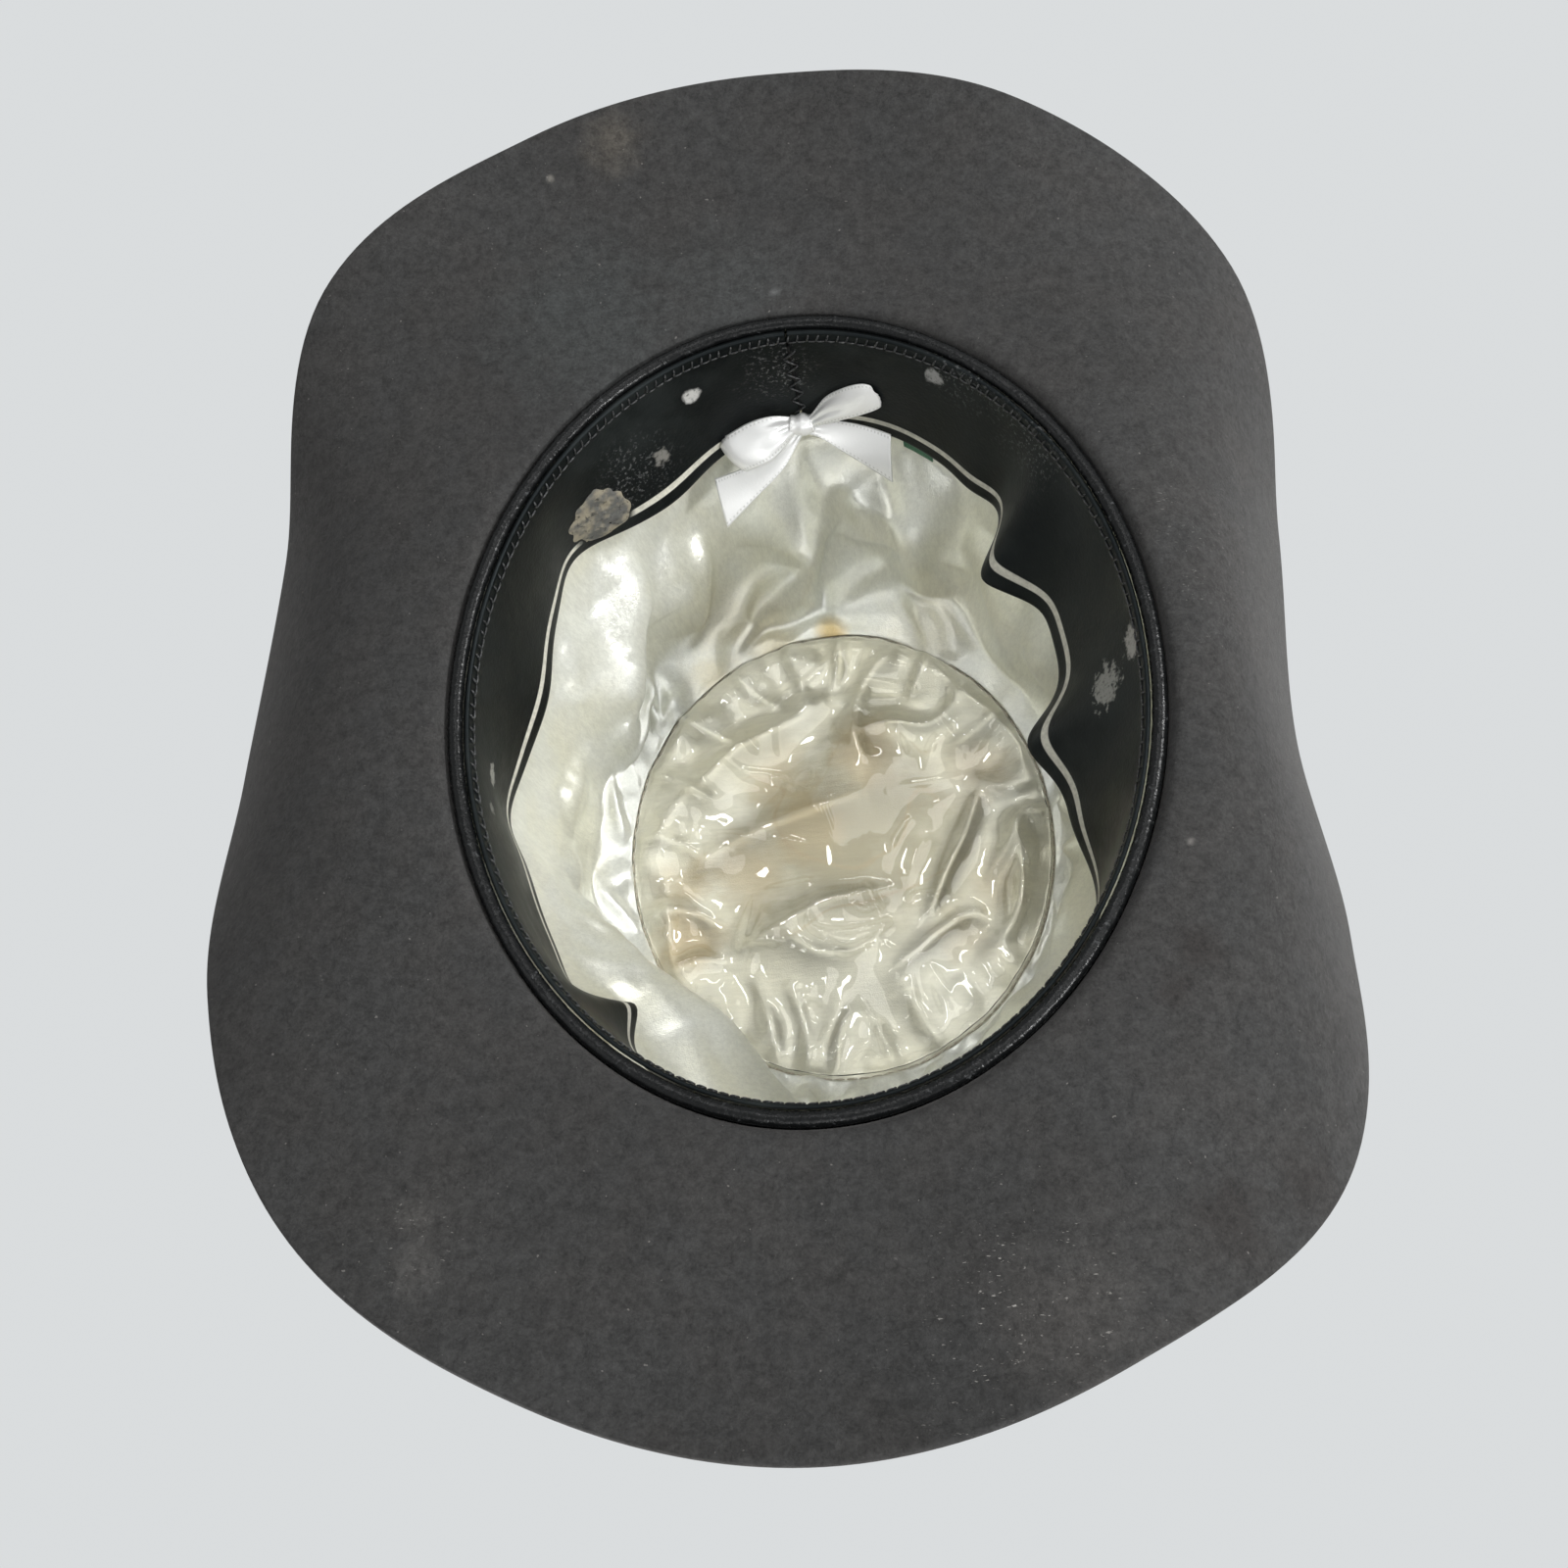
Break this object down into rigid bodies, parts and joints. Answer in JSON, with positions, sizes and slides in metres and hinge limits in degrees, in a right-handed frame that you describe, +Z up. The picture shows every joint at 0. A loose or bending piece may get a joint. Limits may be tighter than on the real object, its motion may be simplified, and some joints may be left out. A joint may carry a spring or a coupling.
{
  "type": "wide-brimmed felt hat",
  "caption": "Wide-brimmed felt hat with a creased crown and rolled brim sides, lined in satin, with a leather sweatband, reed, inner bow and ribbon band; worn on a head.",
  "frame": {"origin": "centre of the head opening, level with the underside of the brim where it leaves the crown", "axes": "+Z up to the crown as worn, -Y to the front of the hat, +X to the wearer's left"},
  "size_m": [0.2742, 0.3419, 0.1312],
  "materials": {
    "felt": "matt brushed felt, dark warm grey",
    "grosgrain": "ribbed ribbon",
    "black_leather": "smooth, worn to a soft sheen",
    "reed_plastic": "matt",
    "reed_tape": "coated tape, slight gloss",
    "black_thread": "twisted thread",
    "seam_tape": "matt",
    "green_label": "woven, bare",
    "white_ribbon": "satin ribbon",
    "ivory_satin": "glossy satin, stained with age",
    "clear_film": "clear soft plastic film, glossy",
    "ivory_thread": "twisted thread"
  },
  "bodies": {
    "root": {"felt_body": "felt", "hat_band": "grosgrain", "band_bow": "grosgrain", "band_bow_wrap": "grosgrain", "sweatband": "black_leather", "reed_core": "reed_plastic", "reed_cover": "reed_tape", "reed_stitching": "black_thread", "back_seam_tape": "seam_tape", "back_seam_thread": "black_thread", "size_label": "green_label", "bow_loops": "white_ribbon", "bow_tails": "white_ribbon", "bow_knot": "white_ribbon", "lining_side": "ivory_satin", "lining_tip": "ivory_satin", "tip_shield": "clear_film", "tip_seam_thread": "ivory_thread"}
  },
  "joints": []
}
